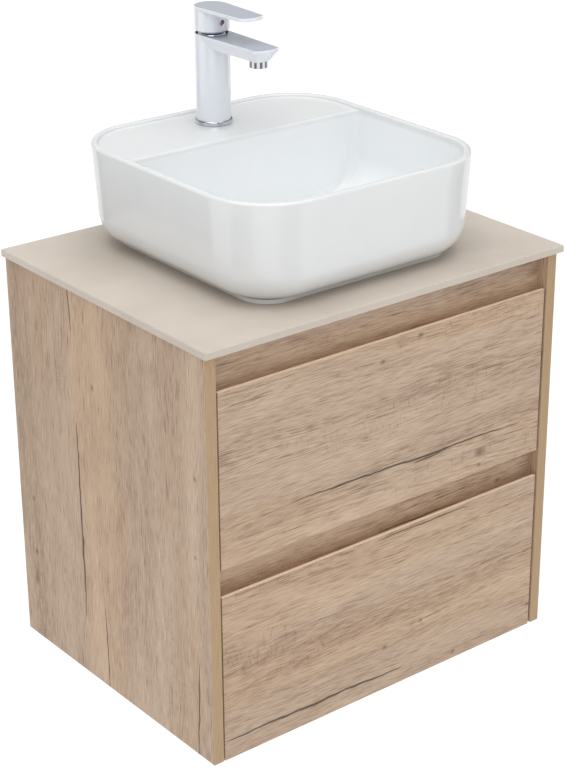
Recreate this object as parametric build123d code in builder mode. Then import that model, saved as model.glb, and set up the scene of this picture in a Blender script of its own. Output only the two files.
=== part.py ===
# Wall-hung two-drawer vanity with a square vessel basin and a single-lever tap.
# Millimetres. +Z is up, the drawer fronts face -Y, the wall is at +Y and X is centred.
# The lowest edge of the lower drawer front stands at Z = 0.
import os
from math import radians, tan

from build123d import *

os.makedirs("parts", exist_ok=True)

# ---- cabinet ---------------------------------------------------------------
cabinet_width = 600
cabinet_depth = 460
cabinet_height = 585
board = 16                    # thickness of every carcass board
cabinet_drop = 1.5            # the lower front hangs this far below the side panels
edge_strip = 1                # thickness of the strip on a side panel's front edge
panel_round = 0.5             # eased edges of the boards

slab_thickness = 10
slab_side_overhang = 5
slab_front_overhang = 8
wall_gap = 2                  # between the cabinet's back and the wall
slab_chamfer = 1.2

# ---- drawer fronts ---------------------------------------------------------
front_gap = 3                 # between a front and the side panel
front_setback = 1.5           # behind the side panels' front edges
front_thickness = 16
groove_top = 52               # finger groove under the slab
groove_middle = 40            # finger groove between the fronts
pull_flat = 5                 # flat left on a front's top edge
rail_gap = 1                  # between the back of a front and a rail
rail_lap = 18                 # how far a rail runs down behind a front

# ---- drawer boxes and slides -----------------------------------------------
box_board = 12
base_board = 8
box_back_gap = 26.5           # between a box and the back rails
upper_box_drop = 59.25        # from the top rail down to the upper box
lower_box_drop = 29.75        # from the middle rail down to the lower box
box_lift = 16                 # from the bottom panel up to the lower box
upper_box_lift = 8            # from the middle rail up to the upper box
slide_space = 13              # between a side panel and a drawer box
slide_metal = 1.2
recess_half = 62              # half width of the recess round the trap
recess_wall = 3

# ---- basin -----------------------------------------------------------------
basin_width = 414
basin_depth = 424
basin_height = 145.5
basin_corner = 96
basin_shift = 6.5             # basin centre behind the slab's centre
basin_taper = 3.3             # degrees that the walls lean in towards the foot
basin_heel = 40               # round between the wall and the underside
foot_height = 6
foot_inset = 47               # from the widest outline to the foot
foot_corner = 40
foot_wall = 14
rim_wall = 10
rim_round = 3.2
deck_drop = 4                 # tap deck below the rim
deck_depth = 138.5            # from the basin's back to the bowl's back wall
deck_thickness = 12
bowl_floor = 19               # bowl floor above the slab
bowl_round = 58
bowl_back_round = 13

# ---- waste and trap --------------------------------------------------------
waste_from_deck = 132         # from the bowl's back wall to the waste
waste_tube_r = 22.5
waste_bore_r = 20
waste_clear = 0.5
waste_flange_r = 32
waste_flange_t = 3
waste_lift = 8
trap_pipe_r = 16
trap_wall = 1.5
trap_bottle_r = 30
trap_drop = 156.5             # from the slab down to the outlet pipe
rosette_r = 30
rosette_t = 6

# ---- tap -------------------------------------------------------------------
tap_from_back = 62            # from the basin's back to the column
column_r = 24
tap_hole_r = 17.5
base_ring_lip = 2             # how far the ring stands out round the column
base_ring_t = 4
column_top = 126.5            # top of the spout above the deck
spout_reach = 104.1           # column centre to outlet centre
spout_nose = 24.3             # outlet centre to the tip
spout_tip_half = 20
spout_thick = 18
spout_lip = 3                 # upright edge above the spout's leaning sides
spout_lean = 7.3              # how far each side leans in below that edge
nose_lean = 11                # how far the tip leans back
aerator_r = 12.5
cartridge_r = 17
handle_height = 30
handle_gap = 3
handle_wall = 3
lever_reach = 97.8
lever_tip_half = 19
lever_thick = 4.5
lever_tilt = 16               # degrees that the lever lifts
run_clear = 0.06              # radial clearance of a turning pin
free_clear = 0.3              # clearance between parts that move past each other

# ---- places worked out from the sizes --------------------------------------
slab_width = cabinet_width + 2 * slab_side_overhang
slab_depth = cabinet_depth + slab_front_overhang + wall_gap
slab_front = -slab_depth / 2
panel_front = slab_front + slab_front_overhang
panel_back = panel_front + cabinet_depth
wall_y = slab_depth / 2
back_rail_front = panel_back - board
panel_bottom = cabinet_drop
panel_top = panel_bottom + cabinet_height
slab_top = panel_top + slab_thickness
inner_half = cabinet_width / 2 - board

front_face = panel_front + front_setback
front_back = front_face + front_thickness
front_half = inner_half - front_gap
rail_front = front_back + rail_gap
front_height = (panel_top - groove_top - groove_middle) / 2
lower_top = front_height
upper_bottom = lower_top + groove_middle
upper_top = upper_bottom + front_height

box_half = inner_half - slide_space
box_back = back_rail_front - box_back_gap
lower_box_z = panel_bottom + board + box_lift
lower_box_height = lower_top - rail_lap - lower_box_drop - lower_box_z
middle_rail_top = upper_bottom + rail_lap
upper_box_z = middle_rail_top + upper_box_lift
upper_box_height = upper_top - rail_lap - upper_box_drop - upper_box_z
slide_front = front_back + 4
slide_back = box_back - 6
trap_pipe_z = panel_top - trap_drop

foot_z = slab_top + foot_height
rim_z = slab_top + basin_height
deck_z = rim_z - deck_drop
floor_z = slab_top + bowl_floor
spout_z = deck_z + column_top
basin_back = basin_shift + basin_depth / 2
deck_front = basin_back - deck_depth
waste_y = deck_front - waste_from_deck
tap_y = basin_back - tap_from_back


def save(builder, name):
    builder.part.label = name
    export_step(builder.part, f"parts/{name}.step")


def block(x, y, z, mode=Mode.ADD):
    # a box between two corners, given as (low, high) pairs
    centre = ((x[0] + x[1]) / 2, (y[0] + y[1]) / 2, (z[0] + z[1]) / 2)
    with Locations(centre):
        Box(x[1] - x[0], y[1] - y[0], z[1] - z[0], mode=mode)


def down(x, y, z):
    # a plane at that place that looks down
    return Plane(origin=(x, y, z), x_dir=(1, 0, 0), z_dir=(0, 0, -1))


def up(x, y, z):
    return Plane(origin=(x, y, z), x_dir=(1, 0, 0), z_dir=(0, 0, 1))


def tube(plane, outer, inner, length):
    # adds a round tube standing on a plane, or a rod where inner is 0
    with BuildSketch(plane) as ring:
        Circle(outer)
        if inner > 0:
            Circle(inner, mode=Mode.SUBTRACT)
    extrude(ring.sketch, amount=length)


def bore(plane, radius, length):
    # cuts a round hole that starts at a plane
    with BuildSketch(plane) as disc:
        Circle(radius)
    extrude(disc.sketch, amount=length, mode=Mode.SUBTRACT)


# ============================ carcass =======================================
screw_r = 1.8
screw_head_r = 3.4
screw_head_t = 1.3
screw_depth = 10
bracket_size = 30
bracket_metal = 2
bracket_width = 24
bracket_places = (panel_front + 77, panel_back - 103)
slide_screw_places = (slide_front + 35, (slide_front + slide_back) / 2, slide_back - 35)
upper_slide_z = upper_box_z + upper_box_height / 2
lower_slide_z = lower_box_z + lower_box_height / 2


def side_screw_points():
    # (y, z, inset) of every screw that goes into a side panel
    points = []
    for y in slide_screw_places:
        points += [(y, upper_slide_z, slide_metal), (y, lower_slide_z, slide_metal)]
    for y in bracket_places:
        points.append((y, panel_top - bracket_size * 0.6, bracket_metal))
    return points


for side, sign in (("left", -1), ("right", 1)):
    with BuildPart() as side_panel:
        block((sign * inner_half, sign * cabinet_width / 2)[::sign],
              (panel_front + edge_strip, panel_back), (panel_bottom, panel_top))
        outer_face = side_panel.faces().sort_by(Axis.X)[-1 if sign > 0 else 0]
        fillet(outer_face.edges().filter_by(Axis.Y).sort_by(Axis.Z)[0], panel_round)
        for y, z, _ in side_screw_points():
            inner_plane = Plane(origin=(sign * inner_half, y, z), z_dir=(sign, 0, 0))
            with BuildSketch(inner_plane):
                Circle(screw_r)
            extrude(amount=screw_depth, mode=Mode.SUBTRACT)
    save(side_panel, f"side_{side}")

with BuildPart() as edge_strips:
    block((inner_half, cabinet_width / 2), (panel_front, panel_front + edge_strip),
          (panel_bottom, panel_top))
    fillet(edge_strips.faces().sort_by(Axis.Y)[0].edges().filter_by(Axis.Z), panel_round)
    mirror(about=Plane.YZ)
save(edge_strips, "side_edge_strips")

with BuildPart() as bottom_panel:
    block((-inner_half, inner_half), (rail_front, panel_back),
          (panel_bottom, panel_bottom + board))
save(bottom_panel, "bottom_panel")

with BuildPart() as top_rail:
    block((-inner_half, inner_half), (rail_front, rail_front + board),
          (upper_top - rail_lap, panel_top))
save(top_rail, "top_front_rail")

with BuildPart() as middle_rail:
    block((-inner_half, inner_half), (rail_front, rail_front + board),
          (lower_top - rail_lap, middle_rail_top))
save(middle_rail, "middle_rail")

hanger_width = 36
hanger_body_z = (panel_top - 56, panel_top - 12)
hanger_top = panel_top - 22
plate_low = panel_top - 87
plate_step = hanger_top - 19
plate_metal = 2
back_rail_low = trap_pipe_z + rosette_r + 5

with BuildPart() as back_top_rail:
    block((-inner_half, inner_half), (back_rail_front, panel_back), (back_rail_low, panel_top))
    with BuildSketch(Plane.XZ.offset(-panel_back)):
        with Locations((inner_half - hanger_width / 2 - 3, (plate_low - 4 + panel_top) / 2)):
            Rectangle(hanger_width + 6, panel_top - plate_low + 4)
        mirror(about=Plane.YZ)
    extrude(amount=board, mode=Mode.SUBTRACT)
save(back_top_rail, "back_top_rail")

low_rail_height = 80
with BuildPart() as back_low_rail:
    block((-inner_half, inner_half), (back_rail_front, panel_back),
          (panel_bottom + board, panel_bottom + board + low_rail_height))
save(back_low_rail, "back_low_rail")

cavity_front = deck_front + deck_thickness
cavity_low_back = basin_back - foot_inset - foot_wall
supply_hole_r = 20
supply_y = (cavity_front + cavity_low_back) / 2
slab_hole_r = waste_tube_r + 1.5

with BuildPart() as countertop:
    block((-slab_width / 2, slab_width / 2), (slab_front, wall_y), (panel_top, slab_top))
    chamfer(countertop.faces().sort_by(Axis.Z)[-1].edges(), slab_chamfer)
    with BuildSketch(Plane.XY.offset(panel_top)):
        with Locations((0, waste_y)):
            Circle(slab_hole_r)
        with Locations((0, supply_y)):
            Circle(supply_hole_r)
    extrude(amount=slab_thickness, mode=Mode.SUBTRACT)
save(countertop, "countertop")

# steel angles that tie the slab to the side panels
with BuildPart() as slab_brackets:
    for y in bracket_places:
        inner, outer = inner_half - bracket_metal, inner_half
        y_span = (y - bracket_width / 2, y + bracket_width / 2)
        block((inner, outer), y_span, (panel_top - bracket_size, panel_top))
        block((outer - bracket_size, outer), y_span, (panel_top - bracket_metal, panel_top))
        with BuildSketch(Plane.YZ.offset(inner)):
            with Locations((y, panel_top - bracket_size * 0.6)):
                Circle(screw_r)
        extrude(amount=bracket_metal, mode=Mode.SUBTRACT)
    mirror(about=Plane.YZ)
save(slab_brackets, "slab_brackets")

# pan-head screws for the angles and the fixed slide members
with BuildPart() as carcass_screws:
    for y, z, inset in side_screw_points():
        head = Plane(origin=(inner_half - inset, y, z), z_dir=(-1, 0, 0))
        with BuildSketch(head):
            Circle(screw_head_r)
        extrude(amount=screw_head_t, taper=20)
        with BuildSketch(head):
            Circle(screw_r)
        extrude(amount=-(screw_depth + inset))
    mirror(about=Plane.YZ)
save(carcass_screws, "carcass_screws")

# hangers in the top back corners, with hooks that drop behind the wall plates' lips
hook_metal = 2
lip_front = panel_back - 7
with BuildPart() as hangers:
    block((inner_half - hanger_width, inner_half), (lip_front - 36, lip_front - 4), hanger_body_z)
    fillet(hangers.edges().filter_by(Axis.X), 3)
    hook_x = (inner_half - hanger_width + 8, inner_half - 8)
    block(hook_x, (lip_front - 6, lip_front + 5.5), (hanger_top, hanger_top + hook_metal))
    block(hook_x, (lip_front + 3.5, lip_front + 5.5), (hanger_top - 12, hanger_top + hook_metal))
    mirror(about=Plane.YZ)
save(hangers, "hangers")

plate_hole_r = 3.25
plate_hole_pitch = 22
plate_hole_z = plate_low + 11
with BuildPart() as wall_plates:
    plate_x = (inner_half - hanger_width + 2, inner_half - 2)
    block(plate_x, (wall_y - plate_metal, wall_y), (plate_low, plate_step))
    block(plate_x, (lip_front, wall_y), (plate_step - plate_metal, plate_step))
    block(plate_x, (lip_front, lip_front + plate_metal), (plate_step - plate_metal, hanger_top))
    with BuildSketch(Plane.XZ.offset(-wall_y)):
        for step in range(2):
            with Locations((sum(plate_x) / 2, plate_hole_z + step * plate_hole_pitch)):
                Circle(plate_hole_r)
    extrude(amount=plate_metal, mode=Mode.SUBTRACT)
    mirror(about=Plane.YZ)
save(wall_plates, "wall_plates")

# ============================ drawer slides =================================
def channel(web, tip, half_height, z, y_low, y_high):
    # a steel channel along Y: web is its (inner, outer) X, tip is how far its lips reach
    x_span = (min(web[0], tip), max(web[1], tip))
    block(x_span, (y_low, y_high), (z - half_height, z + half_height))
    hollow = (web[1], tip) if tip > web[1] else (tip, web[0])
    lip = half_height - slide_metal
    block(hollow, (y_low, y_high), (z - lip, z + lip), mode=Mode.SUBTRACT)


outer_half_z = 22.5
mid_half_z = 18.2
inner_half_z = 13.9
for drawer, z in (("upper", upper_slide_z), ("lower", lower_slide_z)):
    with BuildPart() as outers:
        channel((inner_half - slide_metal, inner_half), inner_half - 9.5, outer_half_z, z,
                slide_front, slide_back)
        for y in slide_screw_places:
            with BuildSketch(Plane.YZ.offset(inner_half - slide_metal)):
                with Locations((y, z)):
                    Circle(screw_r)
            extrude(amount=slide_metal, mode=Mode.SUBTRACT)
        mirror(about=Plane.YZ)
    save(outers, f"{drawer}_slide_outers")

    with BuildPart() as mids:
        channel((inner_half - 5.6, inner_half - 4.4), inner_half - 10.6, mid_half_z, z,
                slide_front, slide_back - 4)
        mirror(about=Plane.YZ)
    save(mids, f"{drawer}_slide_mids")

    with BuildPart() as inners:
        channel((box_half, box_half + slide_metal), box_half + 6.2, inner_half_z, z,
                slide_front, slide_back - 8)
        mirror(about=Plane.YZ)
    save(inners, f"{drawer}_slide_inners")

# ============================ drawers =======================================
drawers = {
    "upper": (upper_bottom, upper_box_z, upper_box_height),
    "lower": (0, lower_box_z, lower_box_height),
}
recess_front = waste_y - recess_half
back_face = box_back - box_board
for drawer, (front_z, box_z, box_height) in drawers.items():
    # the front: its top edge falls away at the back as a finger pull
    with BuildPart() as front:
        with BuildSketch(Plane.YZ.offset(-front_half)):
            bevel = front_thickness - pull_flat
            with BuildLine():
                Polyline((front_face, front_z), (front_back, front_z),
                         (front_back, front_z + front_height - bevel),
                         (front_face + pull_flat, front_z + front_height),
                         (front_face, front_z + front_height), close=True)
            make_face()
        extrude(amount=2 * front_half)
        fillet(front.faces().sort_by(Axis.Y)[0].edges(), panel_round)
    save(front, f"{drawer}_front")

    for side, sign in (("left", -1), ("right", 1)):
        with BuildPart() as box_side:
            block((sign * (box_half - box_board), sign * box_half)[::sign],
                  (front_back, box_back), (box_z, box_z + box_height))
            fillet(box_side.faces().sort_by(Axis.Z)[-1].edges().filter_by(Axis.Y), 2)
        save(box_side, f"{drawer}_box_{side}")

    with BuildPart() as base:
        block((-box_half + box_board, box_half - box_board), (front_back, back_face),
              (box_z, box_z + base_board))
        if drawer == "upper":
            block_y = (recess_front - recess_wall, back_face)
            with BuildSketch(Plane.XY.offset(box_z)):
                with Locations((0, sum(block_y) / 2)):
                    Rectangle(2 * (recess_half + recess_wall), block_y[1] - block_y[0])
            extrude(amount=base_board, mode=Mode.SUBTRACT)
    save(base, f"{drawer}_base")

    with BuildPart() as box_backs:
        inside = recess_half + recess_wall if drawer == "upper" else 0
        block((inside, box_half - box_board), (back_face, box_back), (box_z, box_z + box_height))
        mirror(about=Plane.YZ)
        fillet(box_backs.faces().group_by(Axis.Z)[-1].edges().filter_by(Axis.X), 2)
    save(box_backs, f"{drawer}_box_back")

# a moulded wall round the trap, open at the back so that the drawer can close
with BuildPart() as trap_recess:
    with BuildSketch(Plane.XY.offset(upper_box_z)):
        outer_half = recess_half + recess_wall
        depth = box_back - recess_front
        with Locations((0, recess_front - recess_wall + (depth + recess_wall) / 2)):
            Rectangle(2 * outer_half, depth + recess_wall)
        with Locations((0, recess_front + depth / 2)):
            Rectangle(2 * recess_half, depth, mode=Mode.SUBTRACT)
    extrude(amount=upper_box_height)
save(trap_recess, "trap_recess")

# ============================ basin =========================================
foot_width = basin_width - 2 * foot_inset
foot_depth = basin_depth - 2 * foot_inset
under_recess = 6
cavity_half = 70
cavity_step = 55              # where the space under the deck widens, above the slab
cavity_high_back = basin_back - 28

with BuildPart() as bowl:
    with BuildSketch(down(0, basin_shift, rim_z)):
        RectangleRounded(basin_width - 2 * rim_wall, basin_depth - 2 * rim_wall,
                         basin_corner - rim_wall)
    extrude(amount=rim_z - floor_z, taper=basin_taper)
    fillet(bowl.faces().sort_by(Axis.Z)[0].edges(), bowl_round)
    split(bisect_by=Plane(origin=(0, deck_front, 0), z_dir=(0, 1, 0)), keep=Keep.BOTTOM)
    back_wall = bowl.faces().sort_by(Axis.Y)[-1]
    top_edge = back_wall.edges().sort_by(Axis.Z)[-1]
    fillet([edge for edge in back_wall.edges() if edge != top_edge], bowl_back_round)

with BuildPart() as basin:
    with BuildSketch(down(0, basin_shift, rim_z)):
        RectangleRounded(basin_width, basin_depth, basin_corner)
    extrude(amount=rim_z - foot_z, taper=basin_taper)
    fillet(basin.faces().sort_by(Axis.Z)[0].edges(), basin_heel)
    with BuildSketch(Plane.XY.offset(slab_top)):
        with Locations((0, basin_shift)):
            RectangleRounded(foot_width, foot_depth, foot_corner)
    extrude(amount=foot_height + 0.5)
    # tap deck, set a little below the rim
    with BuildSketch(down(0, basin_shift, rim_z)):
        RectangleRounded(basin_width - 2 * rim_wall, basin_depth - 2 * rim_wall,
                         basin_corner - rim_wall)
    extrude(amount=deck_drop, taper=basin_taper, mode=Mode.SUBTRACT)
    add(bowl.part, mode=Mode.SUBTRACT)
    fillet(basin.faces().sort_by(Axis.Z)[-1].edges(), rim_round)
    # hollow foot, and the space under the deck for the tap's fixings
    with BuildSketch(Plane.XY.offset(slab_top)):
        with Locations((0, basin_shift)):
            RectangleRounded(foot_width - 2 * foot_wall, foot_depth - 2 * foot_wall,
                             foot_corner - foot_wall)
    extrude(amount=under_recess, mode=Mode.SUBTRACT)
    with BuildSketch(Plane.XY.offset(slab_top)):
        with Locations((0, (cavity_front + cavity_low_back) / 2)):
            RectangleRounded(2 * cavity_half, cavity_low_back - cavity_front, 10)
    extrude(amount=cavity_step + 5, mode=Mode.SUBTRACT)
    with BuildSketch(Plane.XY.offset(slab_top + cavity_step)):
        with Locations((0, (cavity_front + cavity_high_back) / 2)):
            RectangleRounded(2 * cavity_half, cavity_high_back - cavity_front, 10)
    extrude(amount=deck_z - deck_thickness - slab_top - cavity_step, mode=Mode.SUBTRACT)
    bore(up(0, tap_y, deck_z - deck_thickness), tap_hole_r, deck_thickness)
    bore(up(0, waste_y, slab_top), waste_tube_r + waste_clear, bowl_floor)
save(basin, "basin")

# ============================ waste =========================================
waste_low = panel_top - 42
spider_z = slab_top - 8
spider_t = 4
stem_r = 5
plug_r = waste_flange_r - 2

with BuildPart() as waste_body:
    tube(up(0, waste_y, floor_z), waste_flange_r, waste_bore_r, waste_flange_t)
    chamfer(waste_body.faces().sort_by(Axis.Z)[-1].edges().sort_by(SortBy.RADIUS)[-1],
            waste_flange_t - 0.8, 4)
    tube(up(0, waste_y, waste_low), waste_tube_r, waste_bore_r, floor_z - waste_low)
    # cross bars with a guide for the plug's stem
    with BuildSketch(up(0, waste_y, spider_z)):
        Rectangle(2 * waste_bore_r + 1, 5)
        Rectangle(5, 2 * waste_bore_r + 1)
        Circle(stem_r + 2.5)
    extrude(amount=spider_t)
    bore(up(0, waste_y, spider_z), stem_r + run_clear, spider_t)
save(waste_body, "waste_body")

# the push plug: a low dome on a stem
plug_t = 5
plug_low = floor_z + waste_flange_t + free_clear
plug_dome_r = 150
with BuildPart() as waste_plug:
    tube(up(0, waste_y, plug_low), plug_r, 0, plug_t)
    with Locations((0, waste_y, plug_low + plug_t - plug_dome_r)):
        Sphere(plug_dome_r, mode=Mode.INTERSECT)
    tube(down(0, waste_y, plug_low), stem_r, 0, plug_low - spider_z + waste_lift + 6)
save(waste_plug, "waste_plug")

nut_thickness = 8
gasket_thickness = 3
with BuildPart() as waste_gasket:
    tube(down(0, waste_y, panel_top), waste_tube_r + 10, waste_tube_r, gasket_thickness)
save(waste_gasket, "waste_gasket")

with BuildPart() as waste_nut:
    with BuildSketch(down(0, waste_y, panel_top - gasket_thickness)):
        RegularPolygon(waste_tube_r + 11, 8)
        Circle(waste_tube_r, mode=Mode.SUBTRACT)
    extrude(amount=nut_thickness)
save(waste_nut, "waste_nut")

# ============================ bottle trap ===================================
pipe_bore = trap_pipe_r - trap_wall
bottle_top = trap_pipe_z + 28
bottle_low = trap_pipe_z - 40
cup_low = bottle_low - 12
cup_high = bottle_low + 10
neck_r = trap_pipe_r + 6
neck_height = 14
collar_t = 3
nut_wall = 3.5

with BuildPart() as trap_inlet_tube:
    tube(down(0, waste_y, waste_low), waste_tube_r, pipe_bore, collar_t)
    tube(down(0, waste_y, waste_low - collar_t), trap_pipe_r, pipe_bore,
         waste_low - collar_t - trap_pipe_z - 4)
save(trap_inlet_tube, "trap_inlet_tube")

with BuildPart() as trap_inlet_nut:
    tube(down(0, waste_y, waste_low + 10), waste_tube_r + nut_wall, waste_tube_r,
         10 + collar_t)
    tube(down(0, waste_y, waste_low - collar_t), waste_tube_r + nut_wall, trap_pipe_r, 5)
save(trap_inlet_nut, "trap_inlet_nut")

with BuildPart() as trap_bottle:
    tube(up(0, waste_y, bottle_low), trap_bottle_r, trap_bottle_r - 3, bottle_top - bottle_low)
    bore(up(0, waste_y, bottle_low), trap_bottle_r + 1, cup_high - bottle_low)
    tube(up(0, waste_y, bottle_low), trap_bottle_r - 2, trap_bottle_r - 4,
         cup_high - bottle_low + 4)
    tube(up(0, waste_y, bottle_top - 3), trap_bottle_r, trap_pipe_r, 3)
    tube(up(0, waste_y, bottle_top), neck_r, trap_pipe_r, neck_height)
    # side outlet
    outlet = Plane(origin=(0, waste_y + trap_bottle_r - 3, trap_pipe_z), z_dir=(0, 1, 0))
    tube(outlet, neck_r - 2, trap_pipe_r, 20)
    bore(outlet.offset(-2), trap_pipe_r, 22)
save(trap_bottle, "trap_bottle")

with BuildPart() as trap_neck_nut:
    tube(up(0, waste_y, bottle_top + 2), neck_r + nut_wall, neck_r, neck_height - 2)
    tube(up(0, waste_y, bottle_top + neck_height), neck_r + nut_wall, trap_pipe_r, 4)
save(trap_neck_nut, "trap_neck_nut")

with BuildPart() as trap_cup:
    tube(up(0, waste_y, cup_low), trap_bottle_r + 1.5, trap_bottle_r - 2, cup_high - cup_low)
    tube(up(0, waste_y, cup_low), trap_bottle_r - 2, 0, bottle_low - cup_low)
    fillet(trap_cup.faces().sort_by(Axis.Z)[0].edges(), 3)
save(trap_cup, "trap_cup")

pipe_start = waste_y + trap_bottle_r - 1
with BuildPart() as trap_outlet_pipe:
    tube(Plane(origin=(0, pipe_start, trap_pipe_z), z_dir=(0, 1, 0)),
         trap_pipe_r, pipe_bore, wall_y - pipe_start)
save(trap_outlet_pipe, "trap_outlet_pipe")

outlet_end = waste_y + trap_bottle_r - 3 + 20
with BuildPart() as trap_outlet_nut:
    nut_plane = Plane(origin=(0, outlet_end - 12, trap_pipe_z), z_dir=(0, 1, 0))
    tube(nut_plane, neck_r - 2 + nut_wall, neck_r - 2, 12)
    tube(nut_plane.offset(12), neck_r - 2 + nut_wall, trap_pipe_r, 4)
save(trap_outlet_nut, "trap_outlet_nut")

with BuildPart() as wall_rosette:
    tube(Plane(origin=(0, wall_y, trap_pipe_z), z_dir=(0, -1, 0)), rosette_r, trap_pipe_r,
         rosette_t)
    rim = wall_rosette.faces().sort_by(Axis.Y)[0].edges().sort_by(SortBy.RADIUS)[-1]
    fillet(rim, rosette_t - 1.5)
save(wall_rosette, "wall_rosette")

# ============================ tap ===========================================
ring_top = deck_z + base_ring_t
recess_r = 22.6
recess_depth = 3
chamber_r = cartridge_r + 2.1
chamber_floor = spout_z - 30
hollow_r = 19.5
hollow_top = chamber_floor - 12
pivot_z = spout_z - 12
tip_y = tap_y - spout_reach - spout_nose
outlet_y = tap_y - spout_reach
spout_low = spout_z - spout_thick
outlet_z = spout_low
stud_r = 4
stud_y = tap_y + 10
stud_low = deck_z - 48
inlet_x = 8
inlet_y = tap_y - 4
inlet_r = 4.5
inlet_bore_r = 3
inlet_low = deck_z - 44


def paddle(width_half, tip_half, tip, bow, corner):
    # plan of a round-backed, tapered paddle that reaches forward from the column
    with BuildSketch(Plane.XY) as plan:
        with BuildLine():
            ThreePointArc((-width_half, tap_y), (0, tap_y + width_half), (width_half, tap_y))
            Line((width_half, tap_y), (tip_half, tip + bow))
            ThreePointArc((tip_half, tip + bow), (0, tip), (-tip_half, tip + bow))
            Line((-tip_half, tip + bow), (-width_half, tap_y))
        make_face()
        fillet(plan.vertices().group_by(Axis.Y)[0], corner)
    return plan.sketch


with BuildPart() as base_ring:
    tube(up(0, tap_y, deck_z), column_r + base_ring_lip, tap_hole_r, base_ring_t)
    fillet(base_ring.faces().sort_by(Axis.Z)[-1].edges().sort_by(SortBy.RADIUS)[-1], 1.2)
save(base_ring, "tap_base_ring")

# column and spout in one casting; the spout's sides and tip lean in like a boat's hull
with BuildPart() as spout:
    lip_z = spout_z - spout_lip
    wide = paddle(column_r, spout_tip_half, tip_y, 4, 7)
    narrow = paddle(column_r - spout_lean, spout_tip_half - spout_lean, tip_y + nose_lean, 3, 6)
    extrude(wide.moved(Location((0, 0, lip_z))), amount=spout_lip)
    loft([narrow.moved(Location((0, 0, spout_low))), wide.moved(Location((0, 0, lip_z)))],
         ruled=True)

with BuildPart() as tap_body:
    tube(up(0, tap_y, ring_top), column_r, 0, spout_z - ring_top)
    add(spout.part)
    fillet(tap_body.faces().sort_by(Axis.Z)[-1].edges(), 0.8)
    bore(up(0, tap_y, ring_top), hollow_r, hollow_top - ring_top)
    bore(up(0, tap_y, chamber_floor), chamber_r, spout_z - chamber_floor)
    bore(up(0, tap_y, spout_z - recess_depth), recess_r, recess_depth)
    # threaded seats in the chamber's floor
    bore(up(0, stud_y, hollow_top), stud_r, 6)
    for sign in (-1, 1):
        bore(up(sign * inlet_x, inlet_y, hollow_top), inlet_r, 7)
        bore(up(sign * inlet_x, inlet_y, hollow_top), inlet_bore_r, 12)
    # waterway from the chamber to the outlet
    waterway_z = spout_low + 6.5
    bore(Plane(origin=(0, tap_y - chamber_r + 2, waterway_z), z_dir=(0, -1, 0)), 3.4,
         spout_reach - chamber_r + 4)
    bore(up(0, outlet_y, outlet_z), aerator_r - 2.5, 6.5)
save(tap_body, "tap_body")

aerator_low = outlet_z - 9.5
with BuildPart() as aerator:
    tube(up(0, outlet_y, aerator_low), aerator_r, aerator_r - 2.5, outlet_z - aerator_low)
    fillet(aerator.faces().sort_by(Axis.Z)[0].edges().sort_by(SortBy.RADIUS)[-1], 0.7)
    tube(up(0, outlet_y, outlet_z - 2), aerator_r - 2, aerator_r - 4.5, 2)
    tube(up(0, outlet_y, outlet_z), aerator_r - 2.5, aerator_r - 4.5, 4)
save(aerator, "tap_aerator")

# flow straightener: a plastic honeycomb disc
with BuildPart() as aerator_insert:
    tube(up(0, outlet_y, aerator_low + 1.5), aerator_r - 2.5, 0, 5)
    with BuildSketch(up(0, outlet_y, aerator_low + 1.5)):
        with HexLocations(1.7, 5, 5):
            RegularPolygon(1.35, 6)
        Circle(aerator_r - 4, mode=Mode.INTERSECT)
    extrude(amount=5, mode=Mode.SUBTRACT)
save(aerator_insert, "aerator_insert")

turret_r = 12
pocket_depth = 4              # below the lever's pivot
with BuildPart() as cartridge:
    shoulder = spout_z - 12
    tube(up(0, tap_y, chamber_floor), cartridge_r, 0, shoulder - chamber_floor)
    tube(up(0, tap_y, shoulder), 13.5, 0, 10)
    bore(up(0, tap_y, pivot_z - pocket_depth), turret_r + run_clear, 30)
save(cartridge, "tap_cartridge")

with BuildPart() as cartridge_nut:
    nut_top = spout_z - recess_depth - 1
    tube(up(0, tap_y, shoulder), chamber_r, 13.5, nut_top - shoulder)
save(cartridge_nut, "cartridge_nut")

# part-spherical shroud about the lever's pivot, with a black seat ring
shroud_r = 22.6
shroud_t = 1.2
seat_z = spout_z - recess_depth
shroud_base = (shroud_r**2 - (seat_z - pivot_z)**2)**0.5
with BuildPart() as shroud:
    with Locations((0, tap_y, pivot_z)):
        Sphere(shroud_r)
        Sphere(shroud_r - shroud_t, mode=Mode.SUBTRACT)
    split(bisect_by=Plane.XY.offset(seat_z), keep=Keep.TOP)
    bore(up(0, tap_y, seat_z), 14.5, 20)
save(shroud, "tap_shroud")

with BuildPart() as seat_ring:
    tube(up(0, tap_y, seat_z), recess_r, shroud_base, 1.8)
save(seat_ring, "shroud_seat_ring")

# turns with the lever, and carries the pin it lifts on
stem_half = 4
stem_drop = 2.5               # stem below the pivot
pin_r = 1.4
turret_low = pivot_z - pocket_depth + free_clear
turret_high = pivot_z + 10
with BuildPart() as turret:
    tube(up(0, tap_y, turret_low), turret_r, 0, turret_high - turret_low)
    block((-stem_half - free_clear, stem_half + free_clear),
          (tap_y - stem_half - 1.3, tap_y + stem_half + 3.6), (turret_low, turret_high),
          mode=Mode.SUBTRACT)
    bore(Plane(origin=(-turret_r, tap_y, pivot_z), z_dir=(1, 0, 0)), pin_r, 2 * turret_r)
save(turret, "cartridge_turret")

pin_half = turret_r - 1
with BuildPart() as tilt_pin:
    tube(Plane(origin=(-pin_half, tap_y, pivot_z), z_dir=(1, 0, 0)), pin_r, 0, 2 * pin_half)
save(tilt_pin, "tilt_pin")

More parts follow.
